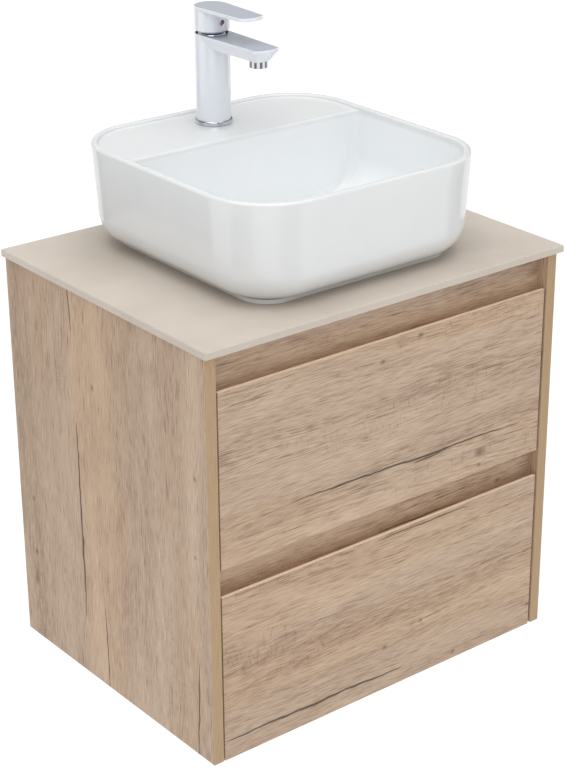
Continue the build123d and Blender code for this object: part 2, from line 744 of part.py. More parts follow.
handle_low = spout_z + handle_gap
lever_z = handle_low + handle_height
boss_low = handle_low + 11
boss_half = 8
stem_top = boss_low + 10
with BuildPart() as lever_stem:
    block((-stem_half, stem_half), (tap_y - stem_half, tap_y + stem_half),
          (pivot_z - stem_drop, stem_top))
    bore(Plane(origin=(-stem_half, tap_y, pivot_z), z_dir=(1, 0, 0)), pin_r + run_clear,
         2 * stem_half)
save(lever_stem, "lever_stem")

marker_r = 3.5
marker_t = 1.2
marker_z = handle_low + 15
handle_chamfer = 2.2
back_rise = 12                # degrees that the handle's back edge rises, so that it can tip
with BuildPart() as handle:
    tube(up(0, tap_y, handle_low), column_r, 0, handle_height)
    chamfer(handle.faces().sort_by(Axis.Z)[0].edges(), handle_chamfer)
    with BuildSketch(Plane.YZ.offset(-column_r - 1)):
        with BuildLine():
            cut_front = tap_y - 2
            cut_back = tap_y + column_r + 6
            cut_rise = (cut_back - cut_front) * tan(radians(back_rise))
            Polyline((cut_front, handle_low - 1), (cut_front, handle_low),
                     (cut_back, handle_low + cut_rise), (cut_back, handle_low - 1), close=True)
        make_face()
    extrude(amount=2 * column_r + 2, mode=Mode.SUBTRACT)
    bore(up(0, tap_y, handle_low - 1), column_r - handle_wall, handle_height - 3)
    block((-boss_half, boss_half), (tap_y - boss_half, tap_y + boss_half),
          (boss_low, lever_z - 2))
    block((-stem_half, stem_half), (tap_y - stem_half, tap_y + stem_half),
          (boss_low, stem_top), mode=Mode.SUBTRACT)
    bore(Plane(origin=(0, tap_y - column_r - 1, marker_z), z_dir=(0, 1, 0)), marker_r,
         marker_t + 1)
    extrude(paddle(column_r, lever_tip_half, tap_y - lever_reach, 6, 9)
            .moved(Location((0, 0, lever_z))), amount=lever_thick)
    fillet(handle.faces().sort_by(Axis.Z)[-1].edges(), 0.9)
save(handle, "tap_handle")

with BuildPart() as marker:
    tube(Plane(origin=(0, tap_y - column_r + marker_t, marker_z), z_dir=(0, -1, 0)), marker_r, 0,
         marker_t)
    fillet(marker.faces().sort_by(Axis.Y)[0].edges(), 0.3)
save(marker, "tap_marker")

# fixings under the deck
under_deck = deck_z - deck_thickness
washer_r = 24
washer_t = 2.5
with BuildPart() as stud:
    tube(up(0, stud_y, stud_low), stud_r, 0, hollow_top + 6 - stud_low)
    chamfer(stud.faces().sort_by(Axis.Z)[0].edges(), 0.8)
save(stud, "tap_stud")

with BuildPart() as horseshoe:
    with BuildSketch(down(0, tap_y, under_deck)):
        Circle(washer_r)
        with Locations((0, washer_r / 2)):
            Rectangle(2 * (inlet_x + inlet_r + 2), washer_r + 4, mode=Mode.SUBTRACT)
        with Locations((0, tap_y - stud_y)):
            Circle(stud_r + 0.2, mode=Mode.SUBTRACT)
    extrude(amount=washer_t)
save(horseshoe, "horseshoe_washer")

with BuildPart() as tap_nut:
    with BuildSketch(down(0, stud_y, under_deck - washer_t)):
        RegularPolygon(8, 6)
        Circle(stud_r, mode=Mode.SUBTRACT)
    extrude(amount=9)
save(tap_nut, "tap_nut")

with BuildPart() as inlets:
    for sign in (-1, 1):
        x = sign * inlet_x
        tube(up(x, inlet_y, inlet_low), inlet_r, inlet_bore_r, hollow_top + 7 - inlet_low)
        with BuildSketch(up(x, inlet_y, inlet_low + 6)):
            RegularPolygon(6.4, 6)
            Circle(inlet_bore_r, mode=Mode.SUBTRACT)
        extrude(amount=8)
save(inlets, "tap_inlets")
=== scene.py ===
import math

import bmesh
import bpy
from mathutils import Matrix, Vector


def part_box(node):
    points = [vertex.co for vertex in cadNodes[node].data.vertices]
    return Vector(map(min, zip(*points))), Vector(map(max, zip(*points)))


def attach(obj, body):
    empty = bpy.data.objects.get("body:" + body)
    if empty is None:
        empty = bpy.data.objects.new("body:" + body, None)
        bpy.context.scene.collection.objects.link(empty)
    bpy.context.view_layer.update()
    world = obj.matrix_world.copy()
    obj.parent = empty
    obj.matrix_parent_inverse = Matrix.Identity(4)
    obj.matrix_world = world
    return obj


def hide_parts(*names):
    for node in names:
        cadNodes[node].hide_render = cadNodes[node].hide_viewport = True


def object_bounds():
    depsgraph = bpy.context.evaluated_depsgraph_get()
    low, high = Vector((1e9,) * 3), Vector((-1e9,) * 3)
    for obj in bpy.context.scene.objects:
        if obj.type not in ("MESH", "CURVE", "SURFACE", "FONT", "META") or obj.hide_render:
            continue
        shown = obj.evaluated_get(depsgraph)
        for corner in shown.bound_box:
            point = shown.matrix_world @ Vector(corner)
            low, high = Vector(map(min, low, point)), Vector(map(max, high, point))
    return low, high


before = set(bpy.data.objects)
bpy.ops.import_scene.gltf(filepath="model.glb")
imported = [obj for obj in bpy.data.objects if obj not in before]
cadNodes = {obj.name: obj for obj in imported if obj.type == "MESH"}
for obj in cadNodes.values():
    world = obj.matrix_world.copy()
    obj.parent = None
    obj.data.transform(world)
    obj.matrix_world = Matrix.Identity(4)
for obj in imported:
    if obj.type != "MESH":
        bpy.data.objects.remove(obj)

scene = bpy.context.scene
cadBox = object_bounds()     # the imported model's own box
mm = 0.001


# camera, light and floor ------------------------------------------------------
studio = {
    "cameraAt": (-1.57455, -2.00835, 1.51761),
    "cameraLooks": (0.58646, 0.70135, -0.40519),
    "cameraRoll": 0.363,          # degrees
    "lens": 92.67,                # mm
    "sensorHeight": 36,           # mm
    "shift": (-0.0772, 0.0041),
    "skyLevel": 0.63,
    "floorReach": 14.0,           # half the floor's width
    "floorDrop": 0.13,            # the cabinet hangs this far above the floor
    "floorGlow": 0.97,
    "flatTurn": 115,              # degrees; turns the dark flats that mirrors see
    "flatLevel": 0.12,
    "flatStart": (0.8, 1.1),      # the flats fade in over this distance from the middle
    "lampsAimAt": (0, 0, 0.6),
    "lamps": [                    # name, place, side, watts
        ("topSoftbox", (-0.2, -0.3, 2.6), 2.2, 27.0),
        ("frontSoftbox", (-1.3, -1.9, 2.5), 1.8, 11.0),
    ],
}


def setCamera():
    lens = bpy.data.cameras.new("vanityCamera")
    lens.sensor_fit = "VERTICAL"
    lens.sensor_height = studio["sensorHeight"]
    lens.lens = studio["lens"]
    lens.shift_x, lens.shift_y = studio["shift"]
    camera = bpy.data.objects.new("vanityCamera", lens)
    scene.collection.objects.link(camera)
    turn = Vector(studio["cameraLooks"]).to_track_quat("-Z", "Y")
    roll = Matrix.Rotation(math.radians(studio["cameraRoll"]), 3, "Z").to_quaternion()
    camera.rotation_mode = "QUATERNION"
    camera.rotation_quaternion = turn @ roll
    camera.location = studio["cameraAt"]
    scene.camera = camera


def addLamps():
    for name, place, side, power in studio["lamps"]:
        light = bpy.data.lights.new(name, "AREA")
        light.shape = "RECTANGLE"
        light.size = light.size_y = side
        light.energy = power
        lamp = bpy.data.objects.new(name, light)
        scene.collection.objects.link(lamp)
        lamp.location = place
        aim = Vector(studio["lampsAimAt"]) - Vector(place)
        lamp.rotation_euler = aim.to_track_quat("-Z", "Y").to_euler()


# node helpers -----------------------------------------------------------------
def feed(tree, socket, value):
    if isinstance(value, bpy.types.NodeSocket):
        tree.links.new(value, socket)
    else:
        socket.default_value = value


def addNode(tree, kind, inputs=None, **settings):
    node = tree.nodes.new(kind)
    for name, value in settings.items():
        setattr(node, name, value)
    for name, value in (inputs or {}).items():
        feed(tree, node.inputs[name], value)
    return node


def calc(tree, operation, *values, clamp=False):
    node = addNode(tree, "ShaderNodeMath", operation=operation, use_clamp=clamp)
    for index, value in enumerate(values):
        feed(tree, node.inputs[index], value)
    return node.outputs[0]


def vectorCalc(tree, operation, *values, output="Vector"):
    # a length or a dot product comes out of the socket called Value
    node = addNode(tree, "ShaderNodeVectorMath", operation=operation)
    for index, value in enumerate(values):
        feed(tree, node.inputs[index], value)
    return node.outputs[output]


def stretch(tree, vector, factors):
    return vectorCalc(tree, "MULTIPLY", vector, factors)


def splitVector(tree, vector):
    return addNode(tree, "ShaderNodeSeparateXYZ", {"Vector": vector}).outputs


def joinVector(tree, x, y, z):
    return addNode(tree, "ShaderNodeCombineXYZ", {"X": x, "Y": y, "Z": z}).outputs[0]


def surfaceNormal(tree):
    return addNode(tree, "ShaderNodeNewGeometry").outputs["Normal"]


def aroundZero(tree, value):
    return calc(tree, "SUBTRACT", value, 0.5)


def strongest(tree, masks):
    # the highest of several masks, or None when there are none
    best = None
    for mask in masks:
        best = mask if best is None else calc(tree, "MAXIMUM", best, mask)
    return best


def newGroup(name, inputs, outputs, kind="ShaderNodeTree"):
    tree = bpy.data.node_groups.new(name, kind)

    def addSocket(label, side, socketKind):
        return tree.interface.new_socket(label, in_out=side, socket_type="NodeSocket" + socketKind)

    for label, socketKind, value in inputs:
        socket = addSocket(label, "INPUT", socketKind)
        if value is not None:
            socket.default_value = value
    for label, socketKind in outputs:
        addSocket(label, "OUTPUT", socketKind)
    given = tree.nodes.new("NodeGroupInput").outputs
    return tree, given, tree.nodes.new("NodeGroupOutput").inputs


def useGroup(tree, group, inputs, kind="ShaderNodeGroup"):
    node = addNode(tree, kind, node_tree=group)
    for name, value in inputs.items():
        feed(tree, node.inputs[name], value)
    return node.outputs


def noise(tree, vector, scale, detail=2.0, roughness=0.5):
    values = {"Vector": vector, "Scale": scale, "Detail": detail, "Roughness": roughness}
    return addNode(tree, "ShaderNodeTexNoise", values).outputs["Fac"]


def spread(tree, value, low, high, toLow=0.0, toHigh=1.0, smooth=False):
    # maps low..high to toLow..toHigh and holds the ends
    values = {"Value": value, "From Min": low, "From Max": high, "To Min": toLow, "To Max": toHigh}
    node = addNode(tree, "ShaderNodeMapRange", values,
                   interpolation_type="SMOOTHSTEP" if smooth else "LINEAR")
    return node.outputs["Result"]


def mixColour(tree, amount, first, second, mode="MIX"):
    node = addNode(tree, "ShaderNodeMix", data_type="RGBA", blend_type=mode)
    feed(tree, node.inputs[0], amount)
    feed(tree, node.inputs[6], first)
    feed(tree, node.inputs[7], second)
    return node.outputs[2]


def tint(red, green, blue):
    # a colour given as it reads on a screen, 0 to 255
    def linear(level):
        level /= 255
        return level / 12.92 if level <= 0.04045 else ((level + 0.055) / 1.055) ** 2.4
    return (linear(red), linear(green), linear(blue), 1.0)


def ramp(tree, value, stops):
    node = addNode(tree, "ShaderNodeValToRGB", {"Fac": value})
    points = node.color_ramp.elements
    while len(points) < len(stops):
        points.new(1.0)
    for point, (place, colour) in zip(points, stops):
        point.position = place
        point.color = colour
    return node.outputs["Color"]


def startMaterial(name, **constants):
    # the shader's own sockets hold what is the same all over
    material = bpy.data.materials.new(name)
    material.use_nodes = True
    tree = material.node_tree
    shader = tree.nodes["Principled BSDF"]
    for label, value in constants.items():
        shader.inputs[label.replace("_", " ")].default_value = value
    return material, tree, shader


def objectPoint(tree):
    return addNode(tree, "ShaderNodeTexCoord").outputs["Object"]


def setBump(tree, shader, height, strength, distance):
    values = {"Height": height, "Strength": strength, "Distance": distance}
    feed(tree, shader.inputs["Normal"], addNode(tree, "ShaderNodeBump", values).outputs[0])


# effects that several finishes share --------------------------------------------
oakGrain = {
    # noise scales along the grain, through the board and across it
    "sway": (2.4, 7.0, 7.0),
    "bands": (1.1, 9.0, 17.0),
    "arches": (1.6, 4.0, 6.5),
    "streaks": (6.0, 170.0, 330.0),
    "dashes": (42.0, 560.0, 820.0),
    "fibres": (22.0, 520.0, 800.0),
    "poreLanes": (4.0, 30.0, 60.0),
    "flecks": (300.0, 60.0, 75.0),
    "fleckLanes": (3.0, 10.0, 14.0),
    "hue": (0.9, 6.0, 11.0),
    "seedShift": (3.1, 1.7, 5.3),
    "swayReach": 0.035,
    "archCount": 58.0,
    "baseTone": 0.53,
    # how much each layer adds to the tone
    "archTone": 0.045,
    "streakTone": 0.55,
    "dashTone": 1.45,
    "poreTone": -0.45,
    "fleckTone": -0.20,
    "poreDepth": -0.6,
}


def makeOakFigure():
    # grain runs along X; tone is 0 dark to 1 light
    tree, given, result = newGroup(
        "oakFigure", [("Vector", "Vector", None), ("Seed", "Float", 0.0), ("Bands", "Float", 0.7)],
        [("Tone", "Float"), ("Height", "Float"), ("Hue", "Float")])

    def layer(vector, name, detail=1.0, roughness=0.5):
        return noise(tree, stretch(tree, vector, oakGrain[name]), 1.0, detail, roughness)

    seed = joinVector(tree, given["Seed"], given["Seed"], given["Seed"])
    point = vectorCalc(tree, "ADD", given["Vector"], stretch(tree, seed, oakGrain["seedShift"]))
    sway = aroundZero(tree, layer(point, "sway", 2.0))
    sway = calc(tree, "MULTIPLY", sway, oakGrain["swayReach"])
    bent = vectorCalc(tree, "ADD", point, joinVector(tree, 0.0, 0.0, sway))
    bands = layer(bent, "bands", 3.0, 0.55)
    arches = layer(bent, "arches")
    rings = calc(tree, "SINE", calc(tree, "MULTIPLY", arches, oakGrain["archCount"]))
    streaks = layer(bent, "streaks", 3.0, 0.7)
    dashes = layer(bent, "dashes", 2.0, 0.65)
    pores = spread(tree, layer(bent, "fibres", 1.0, 0.6), 0.585, 0.65, smooth=True)
    pores = calc(tree, "MULTIPLY", pores, spread(tree, layer(bent, "poreLanes"), 0.40, 0.62))
    # short cross flecks that come and go
    flecks = spread(tree, layer(bent, "flecks"), 0.60, 0.72, smooth=True)
    flecks = calc(tree, "MULTIPLY", flecks, spread(tree, layer(bent, "fleckLanes"), 0.57, 0.66))
    tone = calc(tree, "MULTIPLY_ADD", aroundZero(tree, bands), given["Bands"], oakGrain["baseTone"])
    for value, amount in ((rings, "archTone"), (aroundZero(tree, streaks), "streakTone"),
                          (aroundZero(tree, dashes), "dashTone"), (pores, "poreTone")):
        tone = calc(tree, "MULTIPLY_ADD", value, oakGrain[amount], tone)
    tone = calc(tree, "MULTIPLY_ADD", flecks, oakGrain["fleckTone"], tone, clamp=True)
    feed(tree, result["Tone"], tone)
    feed(tree, result["Height"], calc(tree, "MULTIPLY_ADD", pores, oakGrain["poreDepth"], dashes))
    hue = layer(bent, "hue", 2.0)
    feed(tree, result["Hue"], spread(tree, hue, 0.40, 0.60, smooth=True))
    return tree


def makeCrackLine():
    # a thin dark split that wanders along the grain and thins out at both ends
    tree, given, result = newGroup(
        "crackLine", [("Along", "Float", 0.0), ("Across", "Float", 0.0), ("Start", "Float", 0.0),
                      ("End", "Float", 1.0), ("Level", "Float", 0.0), ("Rise", "Float", 0.0),
                      ("Width", "Float", 0.001)], [("Mask", "Float")])
    share = spread(tree, given["Along"], given["Start"], given["End"])
    line = joinVector(tree, given["Along"], given["Level"], 0.0)
    wander = calc(tree, "MULTIPLY", aroundZero(tree, noise(tree, line, 11.0, 3.0, 0.6)), 0.012)
    centre = calc(tree, "MULTIPLY_ADD", given["Rise"], share, given["Level"])
    centre = calc(tree, "ADD", centre, wander)
    away = calc(tree, "ABSOLUTE", calc(tree, "SUBTRACT", given["Across"], centre))
    swell = calc(tree, "POWER", calc(tree, "SINE", calc(tree, "MULTIPLY", share, math.pi)), 0.4)
    thick = calc(tree, "MULTIPLY_ADD", noise(tree, line, 34.0, 1.0), 1.1, 0.35)
    width = calc(tree, "MULTIPLY", calc(tree, "MULTIPLY", thick, swell), given["Width"])
    width = calc(tree, "ADD", width, 0.00001)
    mask = calc(tree, "SUBTRACT", 1.0, calc(tree, "DIVIDE", away, width), clamp=True)
    feed(tree, result["Mask"], calc(tree, "POWER", mask, 0.7))
    return tree


def makeKnotSpot():
    # a small dark knot, stretched a little along the grain
    tree, given, result = newGroup(
        "knotSpot", [("Along", "Float", 0.0), ("Across", "Float", 0.0),
                     ("Along Centre", "Float", 0.0), ("Across Centre", "Float", 0.0),
                     ("Size", "Float", 0.003)], [("Mask", "Float")])
    sideways = calc(tree, "SUBTRACT", given["Across"], given["Across Centre"])
    along = calc(tree, "SUBTRACT", given["Along"], given["Along Centre"])
    spot = joinVector(tree, calc(tree, "MULTIPLY", along, 0.7), sideways, 0.0)
    away = vectorCalc(tree, "LENGTH", spot, output="Value")
    ragged = calc(tree, "MULTIPLY", noise(tree, spot, 420.0, 2.0), given["Size"])
    reach = calc(tree, "MULTIPLY", given["Size"], 1.7)
    share = calc(tree, "DIVIDE", calc(tree, "ADD", away, ragged), reach)
    feed(tree, result["Mask"], calc(tree, "SUBTRACT", 1.0, share, clamp=True))
    return tree


def makeEdgeWearAndHighlight():
    # 1 on the edges, broken up by a fine noise; the finishes paint these edges lighter, partly as
    # wear and partly as a painted highlight
    tree, given, result = newGroup(
        "edgeWearAndHighlight", [("Vector", "Vector", None), ("Radius", "Float", 0.001)], [("Mask", "Float")])
    rounded = addNode(tree, "ShaderNodeBevel", {"Radius": given["Radius"]}, samples=4).outputs[0]
    match = vectorCalc(tree, "DOT_PRODUCT", rounded, surfaceNormal(tree), output="Value")
    edge = spread(tree, match, 0.995, 0.85)
    broken = spread(tree, noise(tree, given["Vector"], 160.0, 3.0, 0.6), 0.30, 0.62)
    feed(tree, result["Mask"], calc(tree, "MULTIPLY", edge, broken))
    return tree


def makeFineMottle():
    # soft clouds with a finer grain over them
    tree, given, result = newGroup(
        "fineMottle", [("Vector", "Vector", None), ("Clouds", "Float", 9.0),
                       ("Grain", "Float", 400.0)],
        [("Tone", "Float"), ("Speckle", "Float"), ("Height", "Float")])
    clouds = noise(tree, given["Vector"], given["Clouds"], 4.0, 0.6)
    grain = noise(tree, given["Vector"], given["Grain"], 2.0, 0.6)
    feed(tree, result["Tone"], spread(tree, clouds, 0.28, 0.72))
    feed(tree, result["Speckle"], spread(tree, grain, 0.30, 0.70))
    height = calc(tree, "MULTIPLY_ADD", clouds, 0.6, calc(tree, "MULTIPLY", grain, 0.4))
    feed(tree, result["Height"], height)
    return tree


def makeHairScratches():
    # fine rubbed lines, stretched along the vector's X
    tree, given, result = newGroup("hairScratches", [("Vector", "Vector", None)],
                                   [("Lines", "Float"), ("Smudge", "Float")])
    fine = stretch(tree, given["Vector"], (40.0, 1400.0, 1400.0))
    feed(tree, result["Lines"], noise(tree, fine, 1.0, 2.0, 0.65))
    smudge = noise(tree, given["Vector"], 38.0, 3.0, 0.6)
    feed(tree, result["Smudge"], spread(tree, smudge, 0.35, 0.75))
    return tree


oakFigure = makeOakFigure()
crackLine = makeCrackLine()
knotSpot = makeKnotSpot()
edgeWearAndHighlight = makeEdgeWearAndHighlight()
fineMottle = makeFineMottle()
hairScratches = makeHairScratches()


# finishes ---------------------------------------------------------------------
oak = {
    "dark": tint(136, 110, 88),
    "middle": tint(187, 162, 138),
    "warm": (1.02, 0.975, 0.94, 1.0),
    "cool": (0.985, 0.99, 1.02, 1.0),
    "light": tint(212, 189, 164),
    # painted highlight laid on every upward oak face
    "lip": tint(246, 222, 196),
    "crack": tint(50, 42, 36),
    "knot": tint(78, 58, 46),
    # paler edge colour: partly wear, partly a painted highlight
    "wornAndLit": tint(222, 200, 178),
    "bump": 0.00022,
    "uprightBands": 1.1,          # side panels show stronger planks than the fronts
    "lengthwiseBands": 0.7,
}

# cracks and knots in metres: along the grain, then across it
frontMarks = {
    "cracks": [  # start, end, level, rise, width
        (-0.170, 0.245, 0.3475, -0.004, 0.0023),
        (0.045, 0.115, 0.3395, 0.005, 0.0017),
        (-0.283, 0.030, 0.0285, -0.004, 0.0028),
        (-0.010, 0.150, 0.2420, -0.001, 0.0014),
    ],
    "knots": [  # along, across, size
        (0.168, 0.319, 0.0080), (0.064, 0.087, 0.0036), (-0.003, 0.068, 0.0040),
        (0.128, 0.011, 0.0034), (0.052, 0.525, 0.0040), (-0.014, 0.504, 0.0034),
        (0.221, 0.251, 0.0042), (0.167, 0.299, 0.0030), (0.277, 0.035, 0.0030),
    ],
}
sideMarks = {
    "cracks": [
        (0.395, 0.090, 0.0720, 0.000, 0.0032),
        (0.130, -0.010, 0.0225, -0.002, 0.0018),
        (0.150, -0.020, -0.2000, 0.008, 0.0020),
        (0.600, 0.525, 0.0790, -0.004, 0.0018),
    ],
    "knots": [
        (0.229, 0.198, 0.0036), (0.143, 0.199, 0.0042), (0.459, 0.029, 0.0034),
        (0.413, -0.200, 0.0030), (0.300, -0.196, 0.0026),
    ],
}


def wearAndHighlightEdges(tree, point, colour, radius, wornAndLit, amount=0.5):
    # edges painted paler: partly wear, partly a painted highlight
    wearAndHighlight = useGroup(tree, edgeWearAndHighlight, {"Vector": point, "Radius": radius})["Mask"]
    return mixColour(tree, calc(tree, "MULTIPLY", wearAndHighlight, amount), colour, wornAndLit)


def speckledTone(tree, mottle, speckle):
    fine = aroundZero(tree, mottle["Speckle"])
    return calc(tree, "MULTIPLY_ADD", fine, speckle, mottle["Tone"], clamp=True)


def makeOak(name, upright, marks, seed):
    material, tree, shader = startMaterial(name, Specular_IOR_Level=0.35)
    point = objectPoint(tree)
    parts = splitVector(tree, point)
    along, depth, across = ("Z", "X", "Y") if upright else ("X", "Y", "Z")
    grain = joinVector(tree, parts[along], parts[depth], parts[across])
    bands = oak["uprightBands"] if upright else oak["lengthwiseBands"]
    figure = useGroup(tree, oakFigure, {"Vector": grain, "Seed": seed, "Bands": bands})
    stops = [(0.0, oak["dark"]), (0.5, oak["middle"]), (1.0, oak["light"])]
    colour = ramp(tree, figure["Tone"], stops)
    # planks run from tan to a greyer beige
    warm = mixColour(tree, 1.0, colour, oak["warm"], "MULTIPLY")
    cool = mixColour(tree, 1.0, colour, oak["cool"], "MULTIPLY")
    colour = mixColour(tree, figure["Hue"], warm, cool)

    def mark(group, **values):
        inputs = {label.replace("_", " "): value for label, value in values.items()}
        inputs.update({"Along": parts[along], "Across": parts[across]})
        return useGroup(tree, group, inputs)["Mask"]

    cracks = strongest(tree, [
        mark(crackLine, Start=start, End=end, Level=level, Rise=rise, Width=width)
        for start, end, level, rise, width in marks["cracks"]])
    knots = strongest(tree, [
        mark(knotSpot, Along_Centre=alongCentre, Across_Centre=acrossCentre, Size=size)
        for alongCentre, acrossCentre, size in marks["knots"]])
    if knots is not None:
        colour = mixColour(tree, knots, colour, oak["knot"])
    if cracks is not None:
        colour = mixColour(tree, cracks, colour, oak["crack"])
    # upward faces are painted paler, as a painted highlight from the light above
    paintedUpLight = splitVector(tree, surfaceNormal(tree))["Z"]
    colour = mixColour(tree, spread(tree, paintedUpLight, 0.35, 0.75), colour, oak["lip"])
    # edges painted paler, partly as wear and partly as a painted highlight
    colour = wearAndHighlightEdges(tree, point, colour, 0.0012, oak["wornAndLit"], 0.35)
    feed(tree, shader.inputs["Base Color"], colour)
    height = figure["Height"]
    feed(tree, shader.inputs["Roughness"], spread(tree, height, 0.2, 0.8, 0.62, 0.48))
    if cracks is not None:
        height = calc(tree, "SUBTRACT", height, cracks)
    setBump(tree, shader, height, 0.5, oak["bump"])
    return material


def makeEdgeBand():
    material, tree, shader = startMaterial("oakEdgeBand")
    point = objectPoint(tree)
    parts = splitVector(tree, point)
    grain = joinVector(tree, parts["Z"], parts["Y"], parts["X"])
    figure = useGroup(tree, oakFigure, {"Vector": grain, "Seed": 7.3})
    soft = spread(tree, figure["Tone"], 0.0, 1.0, 0.3, 0.7)
    colour = ramp(tree, soft, [(0.0, tint(160, 130, 96)), (1.0, tint(196, 167, 130))])
    # edges painted paler, partly as wear and partly as a painted highlight
    colour = wearAndHighlightEdges(tree, point, colour, 0.0008, tint(214, 192, 160), 0.3)
    feed(tree, shader.inputs["Base Color"], colour)
    feed(tree, shader.inputs["Roughness"], spread(tree, figure["Height"], 0.2, 0.8, 0.58, 0.46))
    setBump(tree, shader, figure["Height"], 0.3, 0.0001)
    return material


def makeMottled(name, light, dark, wornAndLit, clouds, grain, rough, bump=0.00005,
                wearAndHighlightRadius=0.001, speckle=0.25, **constants):
    # stone, board, plastic and rubber all start from this
    material, tree, shader = startMaterial(name, **constants)
    point = objectPoint(tree)
    mottle = useGroup(tree, fineMottle, {"Vector": point, "Clouds": clouds, "Grain": grain})
    colour = ramp(tree, speckledTone(tree, mottle, speckle), [(0.0, dark), (1.0, light)])
    # edges painted paler, partly as wear and partly as a painted highlight
    colour = wearAndHighlightEdges(tree, point, colour, wearAndHighlightRadius, wornAndLit)
    feed(tree, shader.inputs["Base Color"], colour)
    feed(tree, shader.inputs["Roughness"], spread(tree, mottle["Tone"], 0.0, 1.0, *rough))
    setBump(tree, shader, mottle["Height"], 0.4, bump)
    return material


def makeMetal(name, light, dark, rough, bump=0.00001, wearAndHighlightColour=None):
    material, tree, shader = startMaterial(name, Metallic=1.0)
    point = objectPoint(tree)
    hair = useGroup(tree, hairScratches, {"Vector": point})
    colour = ramp(tree, hair["Smudge"], [(0.0, dark), (1.0, light)])
    # edges painted paler, partly as wear and partly as a painted highlight
    colour = wearAndHighlightEdges(tree, point, colour, 0.0006, wearAndHighlightColour or light)
    feed(tree, shader.inputs["Base Color"], colour)
    smudge = calc(tree, "MULTIPLY", hair["Smudge"], 0.5)
    amount = calc(tree, "MULTIPLY_ADD", hair["Lines"], 0.5, smudge)
    feed(tree, shader.inputs["Roughness"], spread(tree, amount, 0.2, 0.8, *rough))
    setBump(tree, shader, hair["Lines"], 0.3, bump)
    return material


def makeTapLacquer():
    # white lacquer on the body; the top faces are painted cooler and greyer, as painted shade
    material, tree, shader = startMaterial("tapLacquer", Coat_Weight=0.6, Coat_Roughness=0.04)
    point = objectPoint(tree)
    mottle = useGroup(tree, fineMottle, {"Vector": point, "Clouds": 26.0, "Grain": 900.0})
    colour = ramp(tree, mottle["Tone"], [(0.0, tint(228, 232, 239)), (1.0, tint(233, 236, 242))])
    # painted shade: upward faces greyed
    paintedTopShade = spread(tree, splitVector(tree, surfaceNormal(tree))["Z"], 0.90, 0.955)
    colour = mixColour(tree, paintedTopShade, colour, tint(165, 173, 185))
    feed(tree, shader.inputs["Base Color"], colour)
    feed(tree, shader.inputs["Roughness"], spread(tree, mottle["Speckle"], 0.0, 1.0, 0.10, 0.16))
    setBump(tree, shader, mottle["Height"], 0.3, 0.00002)
    return material


def makeGlaze():
    # the bowl's inside is painted a lighter white than the outside, as painted light where the
    # bowl's walls shade it
    material, tree, shader = startMaterial("basinGlaze", Coat_Weight=0.2, Coat_Roughness=0.05)
    point = objectPoint(tree)
    mottle = useGroup(tree, fineMottle, {"Vector": point, "Clouds": 14.0, "Grain": 700.0})
    tone = speckledTone(tree, mottle, 0.15)
    outside = ramp(tree, tone, [(0.0, tint(224, 226, 227)), (1.0, tint(227, 229, 229))])
    # painted light: the lighter white inside the bowl
    paintedInsideLight = ramp(tree, tone, [(0.0, tint(237, 240, 241)), (1.0, tint(240, 242, 243))])
    # the painted light goes on faces that look at the bowl's middle or upward, and lie below the
    # deck
    normal = surfaceNormal(tree)
    level = stretch(tree, normal, (1.0, 1.0, 0.0))
    fromMiddle = vectorCalc(tree, "ADD", point, (0.0, 0.045, 0.0))
    facing = vectorCalc(tree, "DOT_PRODUCT", level, fromMiddle, output="Value")
    paintedInsideMask = spread(tree, facing, -0.004, -0.03)
    paintedUpLight = spread(tree, splitVector(tree, normal)["Z"], 0.1, 0.4)
    below = spread(tree, splitVector(tree, point)["Z"], 0.736, 0.730)
    paintedInsideMask = calc(tree, "MULTIPLY", calc(tree, "MAXIMUM", paintedInsideMask, paintedUpLight), below)
    feed(tree, shader.inputs["Base Color"], mixColour(tree, paintedInsideMask, outside, paintedInsideLight))
    feed(tree, shader.inputs["Roughness"], spread(tree, mottle["Tone"], 0.0, 1.0, 0.14, 0.19))
    setBump(tree, shader, mottle["Height"], 0.4, 0.00003)
    return material


def makeMarkerPaint():
    # hot on one half, cold on the other
    material, tree, shader = startMaterial("markerPaint", Coat_Weight=0.5)
    point = objectPoint(tree)
    sideways = splitVector(tree, point)["X"]
    mottle = useGroup(tree, fineMottle, {"Vector": point, "Clouds": 300.0, "Grain": 2500.0})
    red = ramp(tree, mottle["Tone"], [(0.0, tint(120, 30, 40)), (1.0, tint(150, 44, 54))])
    blue = ramp(tree, mottle["Tone"], [(0.0, tint(44, 44, 84)), (1.0, tint(60, 62, 110))])
    colour = mixColour(tree, spread(tree, sideways, -0.0002, 0.0002), red, blue)
    feed(tree, shader.inputs["Base Color"], colour)
    feed(tree, shader.inputs["Roughness"], spread(tree, mottle["Speckle"], 0.0, 1.0, 0.25, 0.4))
    return material


